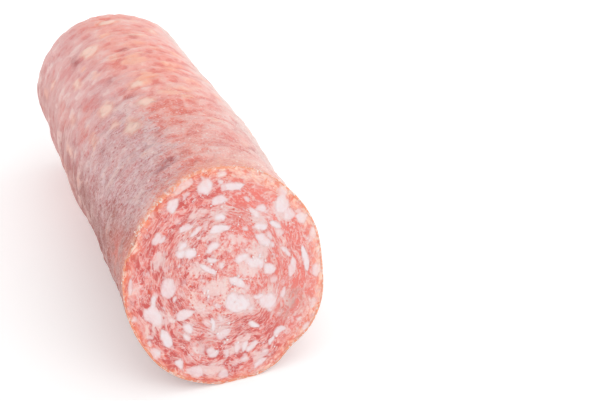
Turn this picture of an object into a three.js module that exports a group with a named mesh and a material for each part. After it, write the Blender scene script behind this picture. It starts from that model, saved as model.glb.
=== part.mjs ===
// A cured sausage in its own casing, lying on its side. The near end is cut at a slant and shows the
// coarse-ground meat. The far end is blunt, closed by the gathered casing. It is all one solid.
// The row frame has +Z up, +Y along the sausage from the cut to the closed end, and its origin under
// the middle of the sausage, on the surface it lies on. Lengths are in millimetres.
import * as THREE from "three";

// Driving dimensions
const radius = 30;
const cutToShoulder = 150; // along the middle line, from the cut face to where the end starts to round
const endDepth = 10; // how far the rounded end reaches past the shoulder
const bellyShare = 0.03; // how much fatter the middle is than the ends
const cutLean = 0.307; // the cut face leans back this much for each unit of height
const cutTurn = 0.059; // and this much for each unit to the right
const restHalfAngle = THREE.MathUtils.degToRad(10); // half the flat spot it lies on, seen from the axis

// Casing
const casingLipHeight = 0.4; // the cut edge of the casing stands proud of the meat
const casingLipWidth = 0.7;
const lumpHeight = 0.35;
const hoopHeight = 0.22; // shallow wrinkles round the girth
const hoopPitch = 19;
const rimWander = 0.45; // how far the rim of the cut strays from a true circle
const rimWanderReach = 25; // and how far along the body that dies away
// Single dents and swellings: how far along the body, how many degrees round from the top, how far
// they stand out, and how far they reach along the body and, in degrees, round it
const dents = [
  { along: 104, degrees: 56, height: -1.3, long: 42, wide: 30 }, // flattened right shoulder
  { along: 29, degrees: 58, height: -1.4, long: 15, wide: 28 },
  { along: 108, degrees: -104, height: -0.65, long: 12, wide: 24 }, // waists of the left flank
  { along: 50, degrees: -104, height: -1.4, long: 17, wide: 28 },
  { along: 17, degrees: -104, height: -0.7, long: 11, wide: 26 },
  { along: 135, degrees: -102, height: -0.8, long: 8, wide: 18 },
  { along: 150, degrees: -86, height: 0.7, long: 10, wide: 14 },
  { along: 152, degrees: 8, height: -0.5, long: 14, wide: 24 },
  { along: 0, degrees: 114, height: 0.9, long: 14, wide: 19 }, // the cut is a little lopsided
  { along: 0, degrees: 145, height: -1.1, long: 14, wide: 10 },
  { along: 0, degrees: -132, height: 0.65, long: 14, wide: 14 },
  { along: 0, degrees: -62, height: -0.9, long: 6, wide: 7 },
];

// Closed end
const endSquareness = 2.5; // 2 is an ellipse, more is blunter
const pleatCount = 18;
const pleatDepth = 0.9;
const puckerRadius = 7;
const puckerDepth = 2.2;
const nubRadius = 3.6;
const nubHeight = 3.4;

// Ground meat on the cut face
const grainCount = 95;
const grainRadius = [1.6, 3.2];
const grainHeight = 0.35;
const grainClearOfRim = 3;

// Mesh density
const around = 72;
const faceRingSpacing = 1.3;
const skinRowSpacing = 4;
const endRows = 13;

const { sin, cos, exp, max, pow, sqrt, PI, round, abs, floor } = Math;
const { smoothstep, clamp, euclideanModulo, degToRad, radToDeg } = THREE.MathUtils;

// A repeatable random number from 0 to 1 for a whole number and a channel.
function draw(index, channel) {
  const wave = sin(index * 12.9898 + channel * 78.233) * 43758.5453;
  return wave - floor(wave);
}

// Angle 0 is the top of the sausage, and it grows towards +X. PI is the line it lies on.
const fromRest = (angle) => abs(euclideanModulo(angle, 2 * PI) - PI);
const onFlatSpot = (angle) => fromRest(angle) <= restHalfAngle + 1e-6;
const awayFromRest = (angle) => smoothstep(fromRest(angle), restHalfAngle, 3.5 * restHalfAngle);

const swell = (y) => 1 + bellyShare * sin(PI * clamp(y / cutToShoulder, 0, 1));
const centreHeight = (y) => radius * swell(y) * cos(restHalfAngle);

// Slow lumps and shallow hoop wrinkles
function casingRelief(angle, y) {
  let lumps = 0;
  for (let i = 1; i <= 5; i++) {
    const turns = 1 + (i % 4);
    lumps += sin(turns * angle + (y * i) / 26 + i * 2.4) / i;
  }
  const hoops = sin((2 * PI * y) / hoopPitch + 1.3 * sin(2 * angle) + 0.7 * sin(3 * angle + y / 30));
  return lumpHeight * lumps * 0.5 + hoopHeight * hoops;
}

// The rim of the cut strays a little from a true circle.
function rimRelief(angle, y) {
  const wander = sin(3 * angle + 0.6) + 0.6 * sin(5 * angle + 2.1) + 0.4 * sin(8 * angle + 4);
  const nearCut = 1 - smoothstep(y, 0, rimWanderReach);
  return nearCut * rimWander * wander * 0.6;
}

function dentRelief(angle, y) {
  let relief = 0;
  for (const { along, degrees, height, long, wide } of dents) {
    const turn = radToDeg(euclideanModulo(angle - degToRad(degrees) + PI, 2 * PI) - PI);
    relief += height * exp(-(((y - along) / long) ** 2) - (turn / wide) ** 2);
  }
  return relief;
}

// All relief dies away at the flat spot.
function skinRadius(angle, y) {
  const relief = casingRelief(angle, y) + rimRelief(angle, y) + dentRelief(angle, y);
  return radius * swell(y) + awayFromRest(angle) * relief;
}

// A point of the body this far under the skin. The flat spot is one plane.
function place(angle, y, inset) {
  const distance = skinRadius(angle, y) - inset;
  const height = onFlatSpot(angle) ? inset : centreHeight(y) + distance * cos(angle);
  return new THREE.Vector3(distance * sin(angle), y, height);
}

const cutPlane = (x, rise) => cutTurn * x + cutLean * rise;

// Grains of fat stand a little proud of the lean meat, spread by the golden angle.
const grains = [];
for (let i = 0; i < grainCount; i++) {
  const turn = i * PI * (3 - sqrt(5)) + (draw(i, 5) - 0.5) * 0.6;
  const reach = (radius - grainClearOfRim) * sqrt((i + draw(i, 1)) / grainCount);
  const size = grainRadius[0] + (grainRadius[1] - grainRadius[0]) * pow(draw(i, 2), 2);
  grains.push({
    x: reach * sin(turn),
    rise: reach * cos(turn),
    long: size,
    short: size * (0.55 + 0.35 * draw(i, 3)),
    tilt: turn + (draw(i, 4) - 0.5) * 1.6,
  });
}

function meatRelief(x, rise) {
  let height = 0;
  for (const grain of grains) {
    const dx = x - grain.x;
    const dz = rise - grain.rise;
    const along = (dx * cos(grain.tilt) - dz * sin(grain.tilt)) / grain.long;
    const across = (dx * sin(grain.tilt) + dz * cos(grain.tilt)) / grain.short;
    const off = along * along + across * across;
    if (off < 1) height = max(height, grainHeight * (1 - off));
  }
  return height;
}

// One closed surface, from rings of points joined in order. A ring has as many points as the one
// before it, or twice as many, and the first and the last ring are single points.
const points = [];
const triangles = [];

function addRing(ring) {
  const first = points.length;
  points.push(...ring);
  return { first, count: ring.length };
}

function joinRings(inner, outer) {
  const at = (ring, i) => ring.first + (i % ring.count);
  if (inner.count === 1) {
    for (let i = 0; i < outer.count; i++) triangles.push([inner.first, at(outer, i), at(outer, i + 1)]);
  } else if (outer.count === 1) {
    for (let i = 0; i < inner.count; i++) triangles.push([at(inner, i), outer.first, at(inner, i + 1)]);
  } else if (inner.count === outer.count) {
    for (let i = 0; i < inner.count; i++) {
      triangles.push([at(inner, i), at(outer, i), at(outer, i + 1)]);
      triangles.push([at(inner, i), at(outer, i + 1), at(inner, i + 1)]);
    }
  } else {
    for (let i = 0; i < inner.count; i++) {
      triangles.push([at(inner, i), at(outer, 2 * i), at(outer, 2 * i + 1)]);
      triangles.push([at(inner, i), at(outer, 2 * i + 1), at(inner, i + 1)]);
      triangles.push([at(inner, i + 1), at(outer, 2 * i + 1), at(outer, 2 * i + 2)]);
    }
  }
}

const angleOf = (i, count) => (2 * PI * i) / count;

// Where the casing, or a line this far under it, meets the cut plane.
function rimPoint(angle, inset, proud) {
  const at = place(angle, 0, inset);
  return at.setY(cutPlane(at.x, at.z - centreHeight(0)) - proud);
}

// The cut face, from its middle to the foot of the casing's edge
const faceRings = round(radius / faceRingSpacing);
let last = addRing([new THREE.Vector3(0, -meatRelief(0, 0), centreHeight(0))]);
for (let k = 1; k <= faceRings; k++) {
  const share = k / faceRings;
  const halvings = share > 0.42 ? 0 : share > 0.2 ? 1 : share > 0.08 ? 2 : 3;
  const count = around / 2 ** halvings;
  const ring = [];
  for (let i = 0; i < count; i++) {
    const angle = angleOf(i, count);
    const edge = rimPoint(angle, casingLipWidth, 0);
    const x = edge.x * share;
    const rise = (edge.z - centreHeight(0)) * share;
    const calm = 1 - smoothstep(share, 0.93, 1);
    ring.push(new THREE.Vector3(x, cutPlane(x, rise) - calm * meatRelief(x, rise), centreHeight(0) + rise));
  }
  const next = addRing(ring);
  joinRings(last, next);
  last = next;
}

// The casing's cut edge, then the casing along the body
const everyAngle = Array.from({ length: around }, (_, i) => angleOf(i, around));
for (const inset of [casingLipWidth * 0.8, 0]) {
  const next = addRing(everyAngle.map((angle) => rimPoint(angle, inset, casingLipHeight)));
  joinRings(last, next);
  last = next;
}
const skinRows = round(cutToShoulder / skinRowSpacing);
for (let row = 1; row <= skinRows; row++) {
  const share = row / skinRows;
  const ring = everyAngle.map((angle) => {
    const start = rimPoint(angle, 0, 0).y;
    const y = start + (cutToShoulder - start) * share;
    return place(angle, y, 0);
  });
  const next = addRing(ring);
  joinRings(last, next);
  last = next;
}

// The closed end: a blunt round with pleats drawn in to a pucker, and a short nub of twisted casing
for (let row = 1; row < endRows; row++) {
  const turn = (row / endRows) * (PI / 2);
  const girth = pow(cos(turn), 2 / endSquareness);
  const reach = pow(sin(turn), 2 / endSquareness);
  const ring = everyAngle.map((angle) => {
    const distance = skinRadius(angle, cutToShoulder) * girth;
    const pleated = smoothstep(girth, 0.15, 0.5) * (1 - smoothstep(girth, 0.55, 0.97));
    const pleat = pleatDepth * pleated * (0.5 - 0.5 * sin(pleatCount * angle + 1.2 * sin(3 * angle)));
    const pucker = puckerDepth * (1 - smoothstep(distance / puckerRadius, 0.3, 1));
    const nub = (nubHeight + puckerDepth) * (1 - smoothstep(distance / nubRadius, 0.35, 1));
    const y = cutToShoulder + endDepth * reach - pleat - pucker + nub;
    const foot = onFlatSpot(angle) ? cos(restHalfAngle) / cos(fromRest(angle)) : 1;
    const rise = distance * cos(angle) * foot;
    return new THREE.Vector3(distance * sin(angle), y, centreHeight(cutToShoulder) + rise);
  });
  const next = addRing(ring);
  joinRings(last, next);
  last = next;
}
const tip = new THREE.Vector3(0, cutToShoulder + endDepth + nubHeight, centreHeight(cutToShoulder));
joinRings(last, addRing([tip]));

// The rings run from the cut face to the closed end, so each triangle is turned to face outwards.
const positions = new Float32Array(points.length * 3);
points.forEach((point, i) => point.toArray(positions, i * 3));
const geometry = new THREE.BufferGeometry();
geometry.setAttribute("position", new THREE.BufferAttribute(positions, 3));
geometry.setIndex(triangles.flatMap(([a, b, c]) => [a, c, b]));
geometry.computeBoundingBox();
const box = geometry.boundingBox;
geometry.translate(-(box.min.x + box.max.x) / 2, -(box.min.y + box.max.y) / 2, -box.min.z);
geometry.computeVertexNormals();

const curedMeat = new THREE.MeshStandardMaterial({ color: 0xd68f86, roughness: 0.55, metalness: 0 });
const sausage = new THREE.Mesh(geometry, curedMeat);
sausage.name = "sausage";

const part = new THREE.Group();
part.add(sausage);

export default part;
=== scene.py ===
# Cured sausage: one log in its casing, cut at a slant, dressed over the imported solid
import math

import bpy
import numpy as np
from mathutils import Matrix, Vector, noise


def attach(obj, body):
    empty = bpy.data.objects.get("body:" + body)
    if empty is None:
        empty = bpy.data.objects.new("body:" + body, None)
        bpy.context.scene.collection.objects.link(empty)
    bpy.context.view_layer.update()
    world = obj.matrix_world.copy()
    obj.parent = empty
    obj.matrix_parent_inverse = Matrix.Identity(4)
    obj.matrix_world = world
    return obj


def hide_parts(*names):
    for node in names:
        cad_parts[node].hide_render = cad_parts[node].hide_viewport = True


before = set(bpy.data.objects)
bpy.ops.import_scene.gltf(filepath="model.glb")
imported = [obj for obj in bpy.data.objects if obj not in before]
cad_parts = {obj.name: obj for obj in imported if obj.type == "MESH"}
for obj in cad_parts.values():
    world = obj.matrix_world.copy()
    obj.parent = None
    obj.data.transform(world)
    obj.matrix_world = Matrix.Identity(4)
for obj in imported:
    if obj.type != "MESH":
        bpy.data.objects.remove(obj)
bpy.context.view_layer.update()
mm = 0.001

# The log itself, in millimetres, with the same numbers as the solid under it
logShape = {
    "radius": 30.0,
    "cutToShoulder": 150.0,
    "endDepth": 10.0,
    "bellyShare": 0.03,
    "cutLean": 0.307,  # the cut leans back this much for each unit of height
    "cutTurn": 0.059,  # and this much for each unit to the right
    "restHalfAngle": math.radians(10),
    "lumpHeight": 0.35,
    "hoopHeight": 0.22,
    "hoopPitch": 19.0,
    "rimWander": 0.45,
    "rimWanderReach": 25.0,
    "endSquareness": 2.5,
    "pleatCount": 18,
    "pleatDepth": 0.9,
    "puckerRadius": 7.0,
    "puckerDepth": 2.2,
    "nubRadius": 3.6,
    "nubHeight": 3.4,
    # Single dents and swellings: along, degrees round from the top, height, reach along and round
    "dents": [
        (104, 56, -1.3, 42, 30), (29, 58, -1.4, 15, 28), (108, -104, -0.65, 12, 24),
        (50, -104, -1.4, 17, 28), (17, -104, -0.7, 11, 26), (135, -102, -0.8, 8, 18),
        (150, -86, 0.7, 10, 14), (152, 8, -0.5, 14, 24), (0, 114, 0.9, 14, 19),
        (0, 145, -1.1, 14, 10), (0, -132, 0.65, 14, 14), (0, -62, -0.9, 6, 7),
    ],
}


def smoothStep(value, low, high):
    share = np.clip((value - low) / (high - low), 0, 1)
    return share * share * (3 - 2 * share)


def fromRest(angle):  # angle 0 is the top, and pi is the line that the log lies on
    return np.abs(np.mod(angle, 2 * np.pi) - np.pi)


def halfTurn(angle):  # the same angle, between -pi and pi
    return (angle + np.pi) % (2 * np.pi) - np.pi


def awayFromRest(angle):
    half = logShape["restHalfAngle"]
    return smoothStep(fromRest(angle), half, 3.5 * half)


def onFlatSpot(angle):
    return fromRest(angle) <= logShape["restHalfAngle"] + 1e-6


def swell(y):
    share = np.clip(y / logShape["cutToShoulder"], 0, 1)
    return 1 + logShape["bellyShare"] * np.sin(np.pi * share)


def centreHeight(y):
    return logShape["radius"] * swell(y) * math.cos(logShape["restHalfAngle"])


def skinRadius(angle, y):
    lumps = sum(np.sin((1 + i % 4) * angle + y * i / 26 + i * 2.4) / i for i in range(1, 6))
    bend = 1.3 * np.sin(2 * angle) + 0.7 * np.sin(3 * angle + y / 30)
    hoops = np.sin(2 * np.pi * y / logShape["hoopPitch"] + bend)
    wander = np.sin(3 * angle + 0.6) + 0.6 * np.sin(5 * angle + 2.1) + 0.4 * np.sin(8 * angle + 4)
    nearCut = 1 - smoothStep(y, 0, logShape["rimWanderReach"])
    relief = logShape["lumpHeight"] * lumps * 0.5 + logShape["hoopHeight"] * hoops
    relief = relief + nearCut * logShape["rimWander"] * wander * 0.6
    for at, degrees, height, reachAlong, reachRound in logShape["dents"]:
        turn = np.degrees(halfTurn(angle - math.radians(degrees)))
        relief = relief + height * np.exp(-((y - at) / reachAlong) ** 2 - (turn / reachRound) ** 2)
    return logShape["radius"] * swell(y) + awayFromRest(angle) * relief


def skinPoint(angle, y, inset):  # a point this far under the skin, as an array of rows x, y, z
    distance = skinRadius(angle, y) - inset
    height = np.where(onFlatSpot(angle), inset, centreHeight(y) + distance * np.cos(angle))
    return np.stack([distance * np.sin(angle), y + 0 * angle, height], axis=-1)


def cutDepth(x, rise):
    return logShape["cutTurn"] * x + logShape["cutLean"] * rise


def rimPoint(angle, inset, proud):  # where a line under the skin meets the cut
    at = skinPoint(angle, 0 * angle, inset + 0 * angle)
    at[:, 1] = cutDepth(at[:, 0], at[:, 2] - centreHeight(0)) - proud
    return at


tipOfNub = logShape["cutToShoulder"] + logShape["endDepth"] + logShape["nubHeight"]
packedTip = max((v.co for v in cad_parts["sausage"].data.vertices), key=lambda co: co.y)
logOrigin = np.array([packedTip.x / mm, packedTip.y / mm - tipOfNub, 0])


def evenAngles(count):
    return np.linspace(0, 2 * np.pi, count, endpoint=False)


def crumple(points, size, octaves, shift):  # soft noise of about -1 to 1, one value a point
    move = Vector((shift, 2.3 * shift, 5.1 * shift))
    return np.array([noise.fractal(Vector(p) / size + move, 1, 2, octaves) for p in points])


def ringMesh(name, rings):
    # Closed surface through rings of points. A ring has as many points as the last, or twice as many.
    starts = np.cumsum([0] + [len(ring) for ring in rings])
    faces = []
    for k in range(len(rings) - 1):
        a, b = starts[k], starts[k + 1]
        na, nb = len(rings[k]), len(rings[k + 1])
        for i in range(nb if na == 1 else na):
            j = i + 1
            if na == 1:
                faces.append((a, b + j % nb, b + i))
            elif nb == 1:
                faces.append((a + i, a + j % na, b))
            elif na == nb:
                faces.append((a + i, a + j % na, b + j % nb, b + i))
            else:  # twice as many
                faces.append((a + i, a + j % na, b + 2 * i + 1))
                faces.append((a + i, b + 2 * i + 1, b + 2 * i))
                faces.append((a + j % na, b + (2 * i + 2) % nb, b + 2 * i + 1))
    points = (np.concatenate(rings) + logOrigin) * mm
    mesh = bpy.data.meshes.new(name)
    mesh.from_pydata(points.tolist(), [], [tuple(map(int, face)) for face in faces])
    mesh.shade_smooth()
    piece = bpy.data.objects.new(name, mesh)
    bpy.context.scene.collection.objects.link(piece)
    return piece


def placePoints(piece, points):  # as ringMesh takes them, in millimetres
    piece.data.vertices.foreach_set("co", ((points + logOrigin) * mm).astype(np.float32).ravel())
    piece.data.update()


def giveLayers(piece, layers):  # a number or a vector for each point, which the materials read
    for name, values in layers.items():
        values = np.asarray(values, np.float32)
        kind, field = ("FLOAT_VECTOR", "vector") if values.ndim == 2 else ("FLOAT", "value")
        layer = piece.data.attributes.new(name, kind, "POINT")
        layer.data.foreach_set(field, values.ravel())


def roundTheLog(angle):  # the way that the girth runs there
    return np.stack([np.cos(angle), 0 * angle, -np.sin(angle)], axis=-1)


# Casing
casingLook = {
    "around": 256,
    "rowSpacing": 0.6,
    "endRows": 44,
    "lipWidth": 0.55,
    "lipHeight": 0.18,
    # Across the lip from the recess to the skin: share of its width under the skin, drop from its top
    "lipProfile": [(1.0, 1.2), (1.0, 0.16), (0.8, 0.02), (0.5, 0), (0.22, 0.03), (0.0, 0.16)],
    "tornEdge": (-1.4, -1.1, -0.5, -0.1),  # the most ragged part: begins, is full, fades, ends
    "recessDepth": 6.0,  # the cut meat sits in it
    "recessTaper": 1.4,  # the recess is narrower at its floor, so it stays under the wrinkles
    "underSolid": 0.12,  # the skin stays this far inside the solid, so its grain doesn't stand out
    "grainUnderSkin": 0.3,
    "creaseDepth": 0.25,
    "edgeReach": 0.45,  # how far from the cut the skin is pale and frayed
    "wrinkleDepth": 0.42,  # soft wrinkles round the girth
    "wrinkleSpacing": 7.0,
    "wrinkleBend": 3.5,
    # Loose shreds of skin at the cut: degrees round from the top, reach, strength
    "frayedAt": [
        (-37, 4, 1.0), (-47, 4, 1.0), (-55, 5, 0.5), (-63, 5, 1.0), (-75, 5, 0.3), (20, 9, 0.12),
    ],
    "notchAngle": math.radians(-63),  # a nick in the cut edge, upper left
    "notchWidth": math.radians(4.5),
    "notchDepth": 1.1,
}


def casingRings():
    look, shape = casingLook, logShape
    angles = evenAngles(look["around"])
    circle = np.stack([np.sin(angles), 0 * angles, np.cos(angles)], axis=-1)
    ragged = crumple(circle, 0.11, 3, 4)
    notch = np.exp(-(halfTurn(angles - look["notchAngle"]) / look["notchWidth"]) ** 2)
    fromTop = halfTurn(angles)
    begins, full, fades, ends = look["tornEdge"]
    torn = smoothStep(fromTop, begins, full) * (1 - smoothStep(fromTop, fades, ends))
    lip = look["lipHeight"] * (1 + (0.55 + 1.4 * torn) * ragged) - look["notchDepth"] * notch * 0.5
    under = look["underSolid"]
    width = look["lipWidth"] * np.maximum(0.85 + 0.9 * crumple(circle, 0.09, 3, 15), 0.6)
    floor = rimPoint(angles, under + width + look["recessTaper"], -look["recessDepth"])
    middle = floor.mean(axis=0, keepdims=True)
    rings = [middle, (floor + middle) / 2, floor]
    for share, drop in look["lipProfile"]:
        rings.append(rimPoint(angles, under + share * width, lip - drop))
    flow = [None] * len(rings)
    rows = round(shape["cutToShoulder"] / look["rowSpacing"])
    start = rimPoint(angles, under, 0)[:, 1] + 0.35
    for row in range(rows + 1):
        y = start + (shape["cutToShoulder"] - start) * row / rows
        rings.append(skinPoint(angles, y, under))
        flow.append(y)
    for row in range(1, look["endRows"]):
        turn = row / look["endRows"] * math.pi / 2
        girth = math.cos(turn) ** (2 / shape["endSquareness"])
        reach = math.sin(turn) ** (2 / shape["endSquareness"])
        y0 = shape["cutToShoulder"]
        distance = (skinRadius(angles, y0 + 0 * angles) - under) * girth
        pleated = smoothStep(girth, 0.15, 0.5) * (1 - smoothStep(girth, 0.55, 0.97))
        folds = np.sin(shape["pleatCount"] * angles + 1.2 * np.sin(3 * angles))
        small = np.sin(2.6 * shape["pleatCount"] * angles + 2 * np.sin(2 * angles)) * (1 - girth)
        pleat = shape["pleatDepth"] * pleated * (0.5 - 0.5 * folds) + 0.12 * small
        pucker = shape["puckerDepth"] * (1 - smoothStep(distance / shape["puckerRadius"], 0.3, 1))
        nubRise = shape["nubHeight"] + shape["puckerDepth"]
        nub = nubRise * (1 - smoothStep(distance / shape["nubRadius"], 0.35, 1))
        y = y0 + shape["endDepth"] * reach - pleat - pucker + nub - under
        half = shape["restHalfAngle"]
        foot = np.where(onFlatSpot(angles), math.cos(half) / np.cos(fromRest(angles)), 1)
        height = centreHeight(y0) + distance * np.cos(angles) * foot
        rings.append(np.stack([distance * np.sin(angles), y, height], axis=-1))
        flow.append(y0 + shape["radius"] * (1 - girth) + 0 * angles)
    rings.append(np.array([[0, tipOfNub - under, centreHeight(y0)]]))
    flow.append(np.array([y0 + shape["radius"]]))
    return rings, flow, angles


def makeCasing():
    rings, flow, angles = casingRings()
    along = np.concatenate([ring[:, 1] if f is None else f for ring, f in zip(rings, flow)])
    around = np.concatenate([angles if len(ring) > 1 else [0.0] for ring in rings])
    outside = np.concatenate([np.full(len(ring), f is not None) for ring, f in zip(rings, flow)])
    radius = logShape["radius"]
    hoop = np.stack([radius * np.sin(around), radius * np.cos(around), along], axis=-1)
    piece = ringMesh("casing", rings)
    points = np.concatenate(rings)
    grain = crumple(hoop, 3.6, 2, 1)
    creaseAndPaintedShade = np.exp(-(crumple(hoop * [0.5, 0.5, 1], 4.2, 3, 2) / 0.12) ** 2)
    wrinkleBend = casingLook["wrinkleBend"] * crumple(hoop * [0.5, 0.5, 1], 12, 2, 12)
    wrinkle = np.sin(2 * np.pi * (along + wrinkleBend) / casingLook["wrinkleSpacing"])
    ridgeAndPaintedLight = wrinkle * np.clip(0.55 + 1.1 * crumple(hoop * [0.35, 0.35, 1], 9, 2, 13), 0, 1)
    fromCut = along - rimPoint(around, casingLook["underSolid"], 0)[:, 1]
    dip = casingLook["grainUnderSkin"] * np.clip(0.4 - grain, 0, 1) + casingLook["creaseDepth"] * creaseAndPaintedShade
    dip = dip + casingLook["wrinkleDepth"] * (0.5 - 0.5 * ridgeAndPaintedLight)
    dip = dip * (0.15 + 0.85 * smoothStep(fromCut, 0.5, 7))
    dip = np.where(outside, np.clip(dip, 0, 1), 0) * awayFromRest(around)
    edge = np.exp(-(np.maximum(fromCut, 0) / casingLook["edgeReach"]) ** 2)
    fromTop = np.degrees(halfTurn(around))
    frayed = 0.03 * (np.abs(fromTop) < 150)
    for degrees, reach, strength in casingLook["frayedAt"]:
        frayed = frayed + strength * np.exp(-((fromTop - degrees) / reach) ** 2)
    clusters = smoothStep(crumple(points, 1.8, 2, 11), -0.1, 0.3)
    giveLayers(piece, {
        "underSkin": grain,
        # the creases are also darkened in the colour, as painted shade
        "creaseAndPaintedShade": np.where(outside, creaseAndPaintedShade, 0),
        # the wrinkle ridges again, for painted light on them and painted shade between them
        "ridgeAndPaintedLight": np.where(outside, ridgeAndPaintedLight, 0),
        "cutEdge": edge,
        "fray": frayed * edge * clusters * (fromCut > -0.5),
    })
    centre = np.stack([0 * along, points[:, 1], np.full(len(along), centreHeight(0))], axis=-1)
    outward = points - centre
    outward /= np.maximum(np.linalg.norm(outward, axis=1, keepdims=True), 1)
    placePoints(piece, points - outward * dip[:, None])
    return piece, hoop, around, along


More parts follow.
